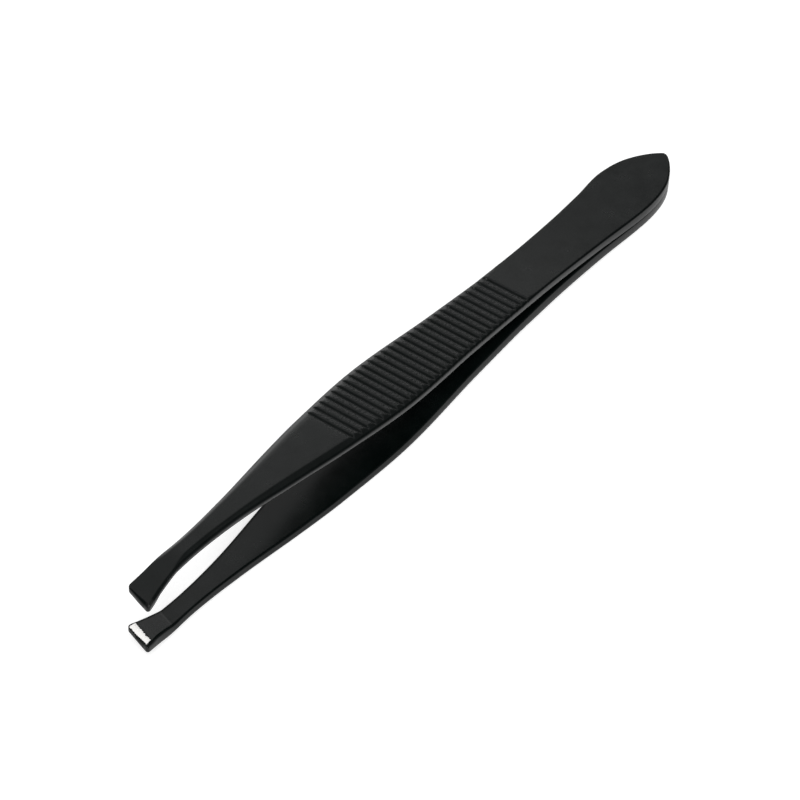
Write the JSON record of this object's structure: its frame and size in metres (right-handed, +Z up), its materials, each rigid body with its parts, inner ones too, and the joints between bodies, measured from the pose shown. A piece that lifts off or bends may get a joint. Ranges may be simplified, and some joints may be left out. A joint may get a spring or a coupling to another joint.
{
  "type": "slant-tip tweezers",
  "caption": "Spring tweezers with a leaf-shaped joined end, ribbed grip and inward-folded slanted tips, for picking up and placing small parts by hand.",
  "frame": {"origin": "middle of the bounding box in X and Y, on the surface the tweezers lie on", "axes": "+X from the joined leaf end to the tips, +Y across the arms, +Z up and along the squeeze"},
  "size_m": [0.095, 0.0076, 0.0101],
  "materials": {
    "black_lacquer": "semi-gloss black lacquer over steel, with a bare ground strip at each tip"
  },
  "bodies": {
    "root": {"upper_arm": "black_lacquer", "lower_arm": "black_lacquer"}
  },
  "joints": []
}
